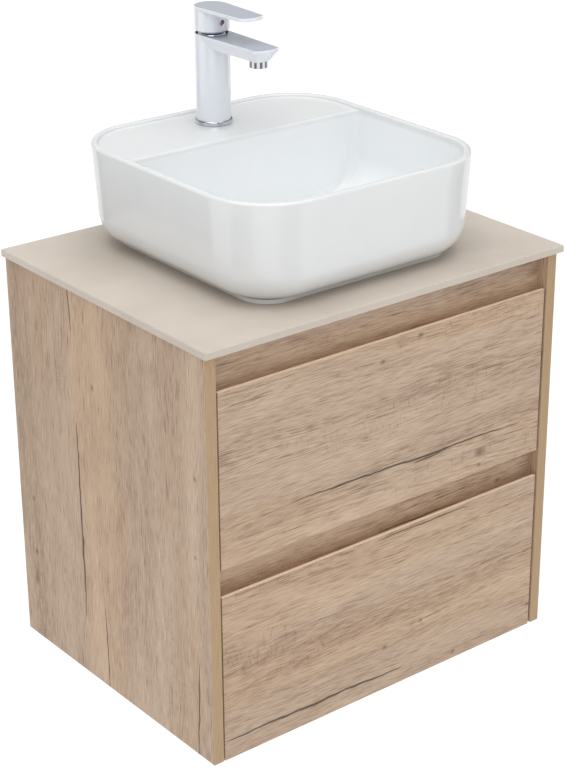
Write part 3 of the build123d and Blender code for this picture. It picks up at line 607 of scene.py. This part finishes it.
finishes = {
    "oakUpright": makeOak("oakUpright", True, sideMarks, 1.0),
    "oakLengthwise": makeOak("oakLengthwise", False, {"cracks": [], "knots": []}, 4.0),
    "oakFront": makeOak("oakFront", False, frontMarks, 2.0),
    "edgeBand": makeEdgeBand(),
    "slabStone": makeMottled(
        "slabStone", tint(209, 199, 188), tint(197, 186, 173), tint(222, 213, 203), clouds=7.0,
        grain=620.0, rough=(0.52, 0.64), bump=0.00006, speckle=0.5, Specular_IOR_Level=0.4),
    "basinGlaze": makeGlaze(),
    "tapLacquer": makeTapLacquer(),
    "chrome": makeMetal("chrome", tint(226, 229, 233), tint(206, 210, 216), (0.04, 0.10)),
    "brass": makeMetal("brass", tint(204, 172, 104), tint(160, 126, 66), (0.22, 0.38),
                       bump=0.00003, wearAndHighlightColour=tint(226, 200, 140)),
    "zincSteel": makeMetal("zincSteel", tint(186, 190, 194), tint(150, 154, 158), (0.26, 0.44),
                           bump=0.00003, wearAndHighlightColour=tint(214, 216, 218)),
    "greyBoard": makeMottled(
        "greyBoard", tint(176, 174, 170), tint(160, 158, 154), tint(196, 194, 190), clouds=18.0,
        grain=500.0, rough=(0.55, 0.68), speckle=0.6),
    "blackRubber": makeMottled(
        "blackRubber", tint(44, 44, 46), tint(28, 28, 30), tint(70, 70, 72), clouds=40.0,
        grain=900.0, rough=(0.5, 0.65), wearAndHighlightRadius=0.0005),
    "whitePlastic": makeMottled(
        "whitePlastic", tint(232, 232, 228), tint(220, 220, 216), tint(240, 240, 238), clouds=40.0,
        grain=1200.0, rough=(0.35, 0.45)),
    "greyPlastic": makeMottled(
        "greyPlastic", tint(150, 152, 154), tint(134, 136, 139), tint(176, 178, 180), clouds=30.0,
        grain=1500.0, rough=(0.42, 0.55)),
    "markerPaint": makeMarkerPaint(),
}
slotFinish = {
    "oak_laminate": "oakLengthwise", "oak_front": "oakFront", "edge_strip": "edgeBand",
    "slab_stone": "slabStone", "glazed_white": "basinGlaze", "white_enamel": "tapLacquer",
    "chrome": "chrome", "brass": "brass", "black_rubber": "blackRubber", "zinc_steel": "zincSteel",
    "grey_board": "greyBoard", "white_plastic": "whitePlastic", "grey_plastic": "greyPlastic",
    "marker_paint": "markerPaint",
}


nodeSlot = {}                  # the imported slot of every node


def dressFrame():
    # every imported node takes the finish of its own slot; side panels have upright grain
    for name, node in cadNodes.items():
        for index, packed in enumerate(node.data.materials):
            slot = packed.name.split(".")[0]
            nodeSlot[name] = slot
            finish = "oakUpright" if name in ("side_left", "side_right") else slotFinish[slot]
            node.data.materials[index] = finishes[finish]


# basin ------------------------------------------------------------------------
basin = {
    "cornerSteps": 18,
    "sideSteps": 6,
    "corner": 96 * mm,           # plan radius of the outside at the rim
    "taper": 3.3,                # degrees
    "rimWall": 10 * mm,
    "rimOutRound": 4.0 * mm,
    "rimInRound": 3.4 * mm,
    "deckDrop": 4 * mm,
    "deckFall": 0.8 * mm,        # the deck falls this much towards the bowl
    "deckFront": 80 * mm,
    "deckEdgeRound": 3.5 * mm,
    "bowlRound": 58 * mm,
    "bowlBackRound": 13 * mm,
    "bowlFloor": 615.5 * mm,
    "heel": 40 * mm,
    "footHalf": (166 * mm, 171 * mm),
    "footCorner": 42 * mm,
    "footHeight": 6 * mm,
    "footWall": 14 * mm,
    "wasteAt": -52 * mm,
    "wasteHole": 23 * mm,
    "wasteBevel": 0.6 * mm,
    "wasteCorner": 8 * mm,       # the floor's back corners close to the bowl
    "wallLevels": (18 * mm, 38 * mm),
}


def between(first, last, share):
    return first + (last - first) * share


def basinRows():
    # each row is one level ring: half width, front, back, front corner, back corner, height
    low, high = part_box("basin")
    middle = (low.y + high.y) / 2
    halfWide, halfDeep = high.x, (high.y - low.y) / 2
    rim, lean = high.z, math.tan(math.radians(basin["taper"]))
    rows = []

    def ring(inset, height, back=None, backCorner=None, corner=None):
        # inset is measured in from the outside at the rim
        round_ = basin["corner"] - inset if corner is None else corner
        rows.append((halfWide - inset, middle - halfDeep + inset,
                     middle + halfDeep - inset if back is None else back,
                     round_, round_ if backCorner is None else backCorner, height))

    def arc(count, start=0.0, end=90.0):
        for step in range(count + 1):
            yield math.radians(start + (end - start) * step / count)

    def wallInset(height):
        return basin["rimWall"] + (rim - height) * lean

    floor, bowl, backRound = basin["bowlFloor"], basin["bowlRound"], basin["bowlBackRound"]
    front = basin["deckFront"]
    # waste hole up through the floor
    hole, waste = basin["wasteHole"], basin["wasteAt"]
    rows.append((hole, waste - hole, waste + hole, hole, hole, floor - 1.0 * mm))
    wider = hole + basin["wasteBevel"]
    rows.append((wider, waste - wider, waste + wider, hole, hole, floor))
    # floor spreads to the foot of the bowl's walls
    floorInset = wallInset(floor) + bowl
    wide, near = halfWide - floorInset, middle - halfDeep + floorInset
    far = front - backRound
    corner = basin["corner"] - floorInset
    for share in (0.15, 0.35, 0.6, 0.85):
        rows.append((between(hole, wide, share), between(waste - hole, near, share),
                     between(waste + hole, far, share), between(hole, corner, share),
                     between(hole, basin["wasteCorner"], share), floor))
    # round at the bottom: wide at the front and sides, tight at the back wall
    for angle in (90, 87, 84, 80, 76, 71, 66, 60, 52, 44, 36, 28, 20, 12, 5, 0):
        phi = math.radians(angle)
        height = floor + bowl * (1 - math.sin(phi))
        drop = max(0.0, floor + backRound - height)
        backIn = backRound - math.sqrt(max(0.0, backRound ** 2 - drop ** 2))
        inset = wallInset(height) + bowl * (1 - math.cos(phi))
        ring(inset, height, back=front - backIn, backCorner=backRound - 0.4 * backIn)
    # walls up to the deck's rounded front edge
    edge, deck = basin["deckEdgeRound"], rim - basin["deckDrop"]
    lip = deck - basin["deckFall"]
    levels = [floor + bowl + level for level in basin["wallLevels"]] + [lip - edge - 2 * mm]
    for height in levels:
        ring(wallInset(height), height, back=front, backCorner=backRound)
    for phi in arc(5):
        height = lip - edge + edge * math.sin(phi)
        out = edge * (1 - math.cos(phi))
        ring(wallInset(height), height, back=front + out, backCorner=backRound + out)
    # the deck runs back to the rim
    farBack = middle + halfDeep - wallInset(deck)
    hollow = basin["deckDrop"] * 0.15
    for share in (0.03, 0.1, 0.25, 0.5, 0.75, 0.92):
        height = between(lip, deck, share)
        ring(wallInset(height), height, back=between(front + edge, farBack - hollow, share),
             backCorner=between(backRound + edge, basin["corner"] - wallInset(deck), share))
    for phi in arc(4):
        height = deck + hollow * (1 - math.cos(phi))
        ring(wallInset(height), height, back=farBack - hollow + hollow * math.sin(phi))
    # rim: inner round, flat, outer round
    inner, outer = basin["rimInRound"], basin["rimOutRound"]
    for phi in arc(5):
        ring(basin["rimWall"] - inner * (1 - math.cos(phi)), rim - inner + inner * math.sin(phi))
    for phi in arc(6, 90, 0):
        ring(outer * (1 - math.cos(phi)), rim - outer + outer * math.sin(phi))
    # outside wall, heel and foot
    foot = low.z + basin["footHeight"]
    heel = basin["heel"]
    for share in (0.25, 0.5, 0.75, 0.97):
        height = rim - outer - (rim - outer - foot - heel) * share
        ring((rim - height) * lean, height)
    for phi in arc(12, 0, 84):
        height = foot + heel * (1 - math.sin(phi))
        ring((rim - height) * lean + heel * (1 - math.cos(phi)), height)
    footWide, footDeep = basin["footHalf"]

    def footRing(less, height, corner):
        rows.append((footWide - less, middle - footDeep + less, middle + footDeep - less,
                     corner, corner, height))

    round_ = basin["footCorner"]
    footRing(0.0, foot + 0.3 * mm, round_)
    footRing(0.0, foot - 1.0 * mm, round_)
    footRing(0.0, low.z + 0.8 * mm, round_)
    footRing(0.8 * mm, low.z, round_ - 0.8 * mm)
    footRing(basin["footWall"], low.z, round_ - basin["footWall"])
    footRing(basin["footWall"] + 0.5 * mm, foot, round_ - basin["footWall"])
    for share in (0.5, 0.9):
        cornerRound = between(round_, hole, share)
        rows.append((between(footWide, hole, share),
                     between(middle - footDeep, waste - hole, share),
                     between(middle + footDeep, waste + hole, share),
                     cornerRound, cornerRound, foot))
    rows.append((hole, waste - hole, waste + hole, hole, hole, foot))
    rows.append(rows[0])
    return rows


def makeRingCorner():
    # one corner of a rounded ring: the point at an angle on the arc of corner 0, 1, 2 or 3
    tree, given, result = newGroup(
        "ringCorner", [("Corner", "Float", 0.0), ("Angle", "Float", 0.0), ("Span", "Vector", None),
                       ("Rounds", "Vector", None)], [("Point", "Vector")], "GeometryNodeTree")
    span, rounds = splitVector(tree, given["Span"]), splitVector(tree, given["Rounds"])
    heading = calc(tree, "MULTIPLY", calc(tree, "ADD", given["Corner"], 0.5), math.pi / 2)
    sideX = calc(tree, "SIGN", calc(tree, "COSINE", heading))
    isBack = calc(tree, "GREATER_THAN", calc(tree, "SINE", heading), 0.0)
    isFront = calc(tree, "SUBTRACT", 1.0, isBack)
    radius = calc(tree, "ADD", calc(tree, "MULTIPLY", rounds["Y"], isBack),
                  calc(tree, "MULTIPLY", rounds["X"], isFront))
    centreX = calc(tree, "MULTIPLY", sideX, calc(tree, "SUBTRACT", span["X"], radius))
    backY = calc(tree, "MULTIPLY", calc(tree, "SUBTRACT", span["Z"], radius), isBack)
    frontY = calc(tree, "MULTIPLY", calc(tree, "ADD", span["Y"], radius), isFront)
    centreY = calc(tree, "ADD", backY, frontY)
    pointX = calc(tree, "MULTIPLY_ADD", radius, calc(tree, "COSINE", given["Angle"]), centreX)
    pointY = calc(tree, "MULTIPLY_ADD", radius, calc(tree, "SINE", given["Angle"]), centreY)
    feed(tree, result["Point"], joinVector(tree, pointX, pointY, rounds["Z"]))
    return tree


def endGrowth(tree, geometry, given, result):
    # real, smooth geometry in the given material
    real = addNode(tree, "GeometryNodeRealizeInstances", {"Geometry": geometry}).outputs[0]
    smooth = addNode(tree, "GeometryNodeSetShadeSmooth", {"Geometry": real}).outputs[0]
    painted = addNode(tree, "GeometryNodeSetMaterial",
                      {"Geometry": smooth, "Material": given["Material"]}).outputs[0]
    feed(tree, result["Geometry"], painted)


def makeRingLoft():
    # lays one rounded ring for every point of the incoming row list and joins them into a shell
    tree, given, result = newGroup(
        "ringLoft", [("Geometry", "Geometry", None), ("Corner Steps", "Int", 18),
                     ("Side Steps", "Int", 6), ("Material", "Material", None)],
        [("Geometry", "Geometry")], "GeometryNodeTree")
    ringCorner = makeRingCorner()
    size = addNode(tree, "GeometryNodeAttributeDomainSize", {"Geometry": given["Geometry"]})
    rowCount = size.outputs["Point Count"]
    perCorner = calc(tree, "ADD", given["Corner Steps"], given["Side Steps"])
    columns = calc(tree, "MULTIPLY_ADD", perCorner, 4.0, 1.0)
    grid = addNode(tree, "GeometryNodeMeshGrid",
                   {"Vertices X": columns, "Vertices Y": rowCount}).outputs["Mesh"]
    index = addNode(tree, "GeometryNodeInputIndex").outputs[0]
    column = calc(tree, "FLOOR", calc(tree, "DIVIDE", calc(tree, "ADD", index, 0.5), rowCount))
    row = calc(tree, "SUBTRACT", index, calc(tree, "MULTIPLY", column, rowCount))
    quarter = calc(tree, "FLOOR", calc(tree, "DIVIDE", calc(tree, "ADD", column, 0.01), perCorner))
    inQuarter = calc(tree, "SUBTRACT", column, calc(tree, "MULTIPLY", quarter, perCorner))
    turned = calc(tree, "MINIMUM", calc(tree, "DIVIDE", inQuarter, given["Corner Steps"]), 1.0)
    angle = calc(tree, "MULTIPLY", calc(tree, "ADD", quarter, turned), math.pi / 2)
    onSide = calc(tree, "SUBTRACT", inQuarter, given["Corner Steps"])
    onSide = calc(tree, "MAXIMUM", calc(tree, "DIVIDE", onSide, given["Side Steps"]), 0.0)

    def rowValue(attribute):
        named = addNode(tree, "GeometryNodeInputNamedAttribute", {"Name": attribute},
                        data_type="FLOAT_VECTOR")
        sample = addNode(tree, "GeometryNodeSampleIndex", {"Geometry": given["Geometry"]},
                         data_type="FLOAT_VECTOR", domain="POINT")
        feed(tree, sample.inputs["Value"], named.outputs["Attribute"])
        feed(tree, sample.inputs["Index"], row)
        return sample.outputs["Value"]

    span, rounds = rowValue("span"), rowValue("rounds")
    points = []
    for corner in (quarter, calc(tree, "ADD", quarter, 1.0)):
        values = {"Corner": corner, "Angle": angle, "Span": span, "Rounds": rounds}
        points.append(useGroup(tree, ringCorner, values, "GeometryNodeGroup")["Point"])
    mix = addNode(tree, "ShaderNodeMix", data_type="VECTOR")
    feed(tree, mix.inputs[0], onSide)
    feed(tree, mix.inputs[4], points[0])
    feed(tree, mix.inputs[5], points[1])
    placed = addNode(tree, "GeometryNodeSetPosition",
                     {"Geometry": grid, "Position": mix.outputs[1]}).outputs[0]
    joined = addNode(tree, "GeometryNodeMergeByDistance",
                     {"Geometry": placed, "Distance": 0.00001}).outputs[0]
    endGrowth(tree, joined, given, result)
    return tree


def grow(name, tree, values, source=None):
    # runs a node tree on a source mesh and keeps its result as a plain mesh piece
    mesh = source or bpy.data.meshes.new(name + "Source")
    piece = bpy.data.objects.new(name, mesh)
    scene.collection.objects.link(piece)
    modifier = piece.modifiers.new("grow", "NODES")
    modifier.node_group = tree
    sockets = {item.name: item.identifier for item in tree.interface.items_tree
               if item.item_type == "SOCKET" and item.in_out == "INPUT"}
    for label, value in values.items():
        modifier[sockets[label]] = value
    depsgraph = bpy.context.evaluated_depsgraph_get()
    finished = bpy.data.meshes.new_from_object(piece.evaluated_get(depsgraph))
    piece.modifiers.remove(modifier)
    piece.data = finished
    finished.name = name
    return piece


def faceOutward(mesh):
    shape = bmesh.new()
    shape.from_mesh(mesh)
    bmesh.ops.recalc_face_normals(shape, faces=shape.faces)
    if shape.calc_volume(signed=True) < 0:
        bmesh.ops.reverse_faces(shape, faces=shape.faces)
    shape.to_mesh(mesh)
    shape.free()


def makeBasin():
    rows = basinRows()
    source = bpy.data.meshes.new("basinRows")
    source.from_pydata([(0, 0, row[5]) for row in rows], [], [])
    span = source.attributes.new("span", "FLOAT_VECTOR", "POINT")
    rounds = source.attributes.new("rounds", "FLOAT_VECTOR", "POINT")
    for index, (half, front, back, frontRound, backRound, height) in enumerate(rows):
        span.data[index].vector = (half, front, back)
        rounds.data[index].vector = (frontRound, backRound, height)
    piece = grow("basinShell", makeRingLoft(), {"Corner Steps": basin["cornerSteps"],
                                                "Side Steps": basin["sideSteps"],
                                                "Material": finishes["basinGlaze"]}, source)
    faceOutward(piece.data)
    piece.data.set_sharp_from_angle(angle=math.radians(38))
    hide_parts("basin")
    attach(piece, "cabinet")
    print("basin", len(piece.data.polygons), "faces")


# small turned and repeated parts ------------------------------------------------
trim = {
    "ringSteps": 64,
    "collarLip": 2.3 * mm,        # how far the collar stands out round the tap's column
    "collarHeight": 6.2 * mm,
    "columnRound": 24 * mm,
    "markerRound": (3.5 * mm, 5.2 * mm),
    "ballRound": 1.45 * mm,
    "ballStep": 12 * mm,
    "ballCount": 14,
    "ballInset": 8 * mm,          # from the outer slide's web
    "ballEnd": 6 * mm,            # from the middle member's end
    "ballRows": (19.75 * mm, 15.45 * mm),   # half the height between the rows
    "ribCount": 24,
    "ribRound": 1.1 * mm,
    "ribLength": 0.7,             # share of the nut's height
}


def finishPiece(piece, body):
    faceOutward(piece.data)
    piece.data.set_sharp_from_angle(angle=math.radians(35))
    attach(piece, body)


def turnRing(name, centre, axis, profile, body, slot):
    # a closed profile of (radius, height) pairs turned about an axis through the centre
    steps = trim["ringSteps"]
    turn = Vector((0, 0, 1)).rotation_difference(Vector(axis)).to_matrix()
    verts, faces, count = [], [], len(profile)
    for step in range(steps):
        angle = 2 * math.pi * step / steps
        for radius, height in profile:
            spot = Vector((radius * math.cos(angle), radius * math.sin(angle), height))
            verts.append(tuple(turn @ spot + Vector(centre)))
        after = (step + 1) % steps
        for index in range(count):
            other = (index + 1) % count
            faces.append((step * count + index, step * count + other, after * count + other,
                          after * count + index))
    mesh = bpy.data.meshes.new(name)
    mesh.from_pydata(verts, [], faces)
    mesh.materials.append(finishes[slotFinish[slot]])
    for face in mesh.polygons:
        face.use_smooth = True
    piece = bpy.data.objects.new(name, mesh)
    scene.collection.objects.link(piece)
    finishPiece(piece, body)


def makeTapTrim():
    ringLow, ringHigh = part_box("tap_base_ring")
    middleY = (ringLow.y + ringHigh.y) / 2
    # a rounded chrome collar over the base ring
    inner, outer = trim["columnRound"] - 0.2 * mm, trim["columnRound"] + trim["collarLip"]
    tall = trim["collarHeight"]
    profile = [(inner, 0.1 * mm), (outer - 0.4 * mm, 0.1 * mm), (outer, 0.6 * mm),
               (outer, tall - 1.8 * mm), (outer - 0.3 * mm, tall - 0.9 * mm),
               (outer - 1.0 * mm, tall - 0.2 * mm), (outer - 1.6 * mm, tall), (inner, tall)]
    turnRing("tapCollar", (0, middleY, ringLow.z), (0, 0, 1), profile, "cabinet", "chrome")
    # a chrome ring round the hot and cold marker
    markerLow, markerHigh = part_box("tap_marker")
    high = (markerLow.z + markerHigh.z) / 2
    small, big = trim["markerRound"]
    rim = [(small, 0.15 * mm), (small + 0.3 * mm, 0.55 * mm), (big - 0.4 * mm, 0.45 * mm),
           (big, 0.0), (big, -1.0 * mm), (small, -1.0 * mm)]
    turnRing("markerRing", (0, markerLow.y, high), (0, -1, 0), rim, "lever", "chrome")


def makeBallRow():
    # four rows of balls: one row repeated across the slide and on the other side
    tree, given, result = newGroup(
        "ballRow", [("Geometry", "Geometry", None), ("Count", "Int", 12), ("Start", "Vector", None),
                    ("Step", "Vector", None), ("Drop", "Vector", None), ("Across", "Vector", None),
                    ("Radius", "Float", 0.0015), ("Material", "Material", None)],
        [("Geometry", "Geometry")], "GeometryNodeTree")
    line = addNode(tree, "GeometryNodeMeshLine",
                   {"Count": given["Count"], "Start Location": given["Start"],
                    "Offset": given["Step"]}).outputs["Mesh"]
    ball = addNode(tree, "GeometryNodeMeshUVSphere",
                   {"Segments": 14, "Rings": 9, "Radius": given["Radius"]}).outputs["Mesh"]
    rows = addNode(tree, "GeometryNodeInstanceOnPoints",
                   {"Points": line, "Instance": ball}).outputs["Instances"]
    for shift in ("Drop", "Across"):
        moved = addNode(tree, "GeometryNodeTransform",
                        {"Geometry": rows, "Translation": given[shift]}).outputs[0]
        both = addNode(tree, "GeometryNodeJoinGeometry")
        tree.links.new(rows, both.inputs[0])
        tree.links.new(moved, both.inputs[0])
        rows = both.outputs[0]
    endGrowth(tree, rows, given, result)
    return tree


def makeRibRing():
    # upright grip ribs set round a nut
    tree, given, result = newGroup(
        "ribRing", [("Geometry", "Geometry", None), ("Count", "Int", 24),
                    ("Centre", "Vector", None), ("Round", "Float", 0.02),
                    ("Rib Radius", "Float", 0.001), ("Height", "Float", 0.01),
                    ("Material", "Material", None)], [("Geometry", "Geometry")], "GeometryNodeTree")
    circle = addNode(tree, "GeometryNodeMeshCircle",
                     {"Vertices": given["Count"], "Radius": given["Round"]}).outputs["Mesh"]
    rib = addNode(tree, "GeometryNodeMeshCylinder",
                  {"Vertices": 10, "Radius": given["Rib Radius"],
                   "Depth": given["Height"]}).outputs["Mesh"]
    ribs = addNode(tree, "GeometryNodeInstanceOnPoints",
                   {"Points": circle, "Instance": rib}).outputs["Instances"]
    placed = addNode(tree, "GeometryNodeTransform",
                     {"Geometry": ribs, "Translation": given["Centre"]}).outputs[0]
    endGrowth(tree, placed, given, result)
    return tree


def makeRepeats():
    ballRow, ribRing = makeBallRow(), makeRibRing()
    for drawer in ("upper", "lower"):
        low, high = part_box(drawer + "_slide_mids")
        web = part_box(drawer + "_slide_outers")[1].x
        level = (low.z + high.z) / 2
        edge, end = web - trim["ballInset"], trim["ballEnd"]
        outer, inner = trim["ballRows"]
        # the outer rows run forward from the back end, the inner rows back from the front end
        for part, half, start, way in (("Outer", outer, high.y - end, -1),
                                       ("Inner", inner, low.y + end, 1)):
            piece = grow(drawer + "Slide" + part + "Balls", ballRow, {
                "Count": trim["ballCount"], "Start": (edge, start, level + half),
                "Step": (0, way * trim["ballStep"], 0), "Drop": (0, 0, -2 * half),
                "Across": (-2 * edge, 0, 0), "Radius": trim["ballRound"],
                "Material": finishes["zincSteel"]})
            finishPiece(piece, drawer + "_slides")
    for nut in ("trap_inlet_nut", "trap_neck_nut"):
        low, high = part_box(nut)
        piece = grow(nut.replace("_nut", "Ribs").replace("trap_", "trap"), ribRing, {
            "Count": trim["ribCount"],
            "Centre": (0, (low.y + high.y) / 2, (low.z + high.z) / 2),
            "Round": high.x - 0.2 * mm, "Rib Radius": trim["ribRound"],
            "Height": (high.z - low.z) * trim["ribLength"],
            "Material": finishes[slotFinish[nodeSlot[nut]]]})
        finishPiece(piece, "cabinet")
    print("balls and ribs on")


# studio -----------------------------------------------------------------------
def makeSky():
    world = bpy.data.worlds.new("softStudio")
    scene.world = world
    world.use_nodes = True
    tree = world.node_tree
    sky = tree.nodes["Background"]
    direction = addNode(tree, "ShaderNodeTexCoord").outputs["Generated"]
    up = splitVector(tree, direction)
    # mirrors see a grey ceiling and a few dark flats between bright walls
    ceiling = spread(tree, up["Z"], 0.15, 0.75, 0.95, 0.42)
    turn = calc(tree, "MULTIPLY", calc(tree, "ARCTAN2", up["Y"], up["X"]), 3.0)
    flats = spread(tree, calc(tree, "SINE", turn), 0.35, 0.75, 1.0, 0.30, smooth=True)
    high = spread(tree, up["Z"], 0.25, 0.6)
    flats = calc(tree, "MULTIPLY", flats, calc(tree, "SUBTRACT", 1.0, high))
    flats = calc(tree, "ADD", flats, high)
    seen = calc(tree, "MULTIPLY", ceiling, flats)
    ray = addNode(tree, "ShaderNodeLightPath").outputs
    level = addNode(tree, "ShaderNodeMix", {"Factor": ray["Is Glossy Ray"]}, data_type="FLOAT")
    feed(tree, level.inputs[2], 1.0)
    feed(tree, level.inputs[3], seen)
    strength = calc(tree, "MULTIPLY", level.outputs[0], studio["skyLevel"])
    # the sky beyond the floor's edge is plain white to the camera
    strength = calc(tree, "MAXIMUM", strength, ray["Is Camera Ray"])
    feed(tree, sky.inputs["Strength"], strength)
    sky.inputs["Color"].default_value = (1, 1, 1, 1)


def makeFloor():
    material, tree, shader = startMaterial("studioFloor", Roughness=0.9)
    point = objectPoint(tree)
    mottle = useGroup(tree, fineMottle, {"Vector": point, "Clouds": 1.2, "Grain": 60.0})
    colour = ramp(tree, mottle["Tone"], [(0.0, tint(90, 90, 90)), (1.0, tint(98, 98, 98))])
    feed(tree, shader.inputs["Base Color"], colour)
    shader.inputs["Emission Color"].default_value = (1, 1, 1, 1)
    # mirrors see a few dark flats that stand round the piece
    parts = splitVector(tree, point)
    turn = calc(tree, "MULTIPLY_ADD", calc(tree, "ARCTAN2", parts["Y"], parts["X"]), 5.0,
                math.radians(studio["flatTurn"]))
    flats = spread(tree, calc(tree, "COSINE", turn), -0.10, 0.35, 1.0, studio["flatLevel"],
                   smooth=True)
    away = vectorCalc(tree, "LENGTH", point, output="Value")
    far = spread(tree, away, *studio["flatStart"])
    glossy = addNode(tree, "ShaderNodeLightPath").outputs["Is Glossy Ray"]
    dim = calc(tree, "MULTIPLY", calc(tree, "SUBTRACT", 1.0, flats), far)
    dim = calc(tree, "MULTIPLY", dim, glossy)
    feed(tree, shader.inputs["Emission Strength"],
         calc(tree, "MULTIPLY_ADD", dim, -studio["floorGlow"], studio["floorGlow"]))
    reach, level = studio["floorReach"], cadBox[0][2] - studio["floorDrop"]
    mesh = bpy.data.meshes.new("studioFloor")
    mesh.from_pydata([(-reach, -reach, level), (reach, -reach, level), (reach, reach, level),
                      (-reach, reach, level)], [], [(0, 1, 2, 3)])
    mesh.materials.append(material)
    floor = bpy.data.objects.new("studioFloor", mesh)
    scene.collection.objects.link(floor)


setCamera()
makeSky()
makeFloor()
addLamps()
scene.view_settings.view_transform = "Standard"
print("studio ready")

dressFrame()
print("finishes on")
makeBasin()
makeTapTrim()
makeRepeats()
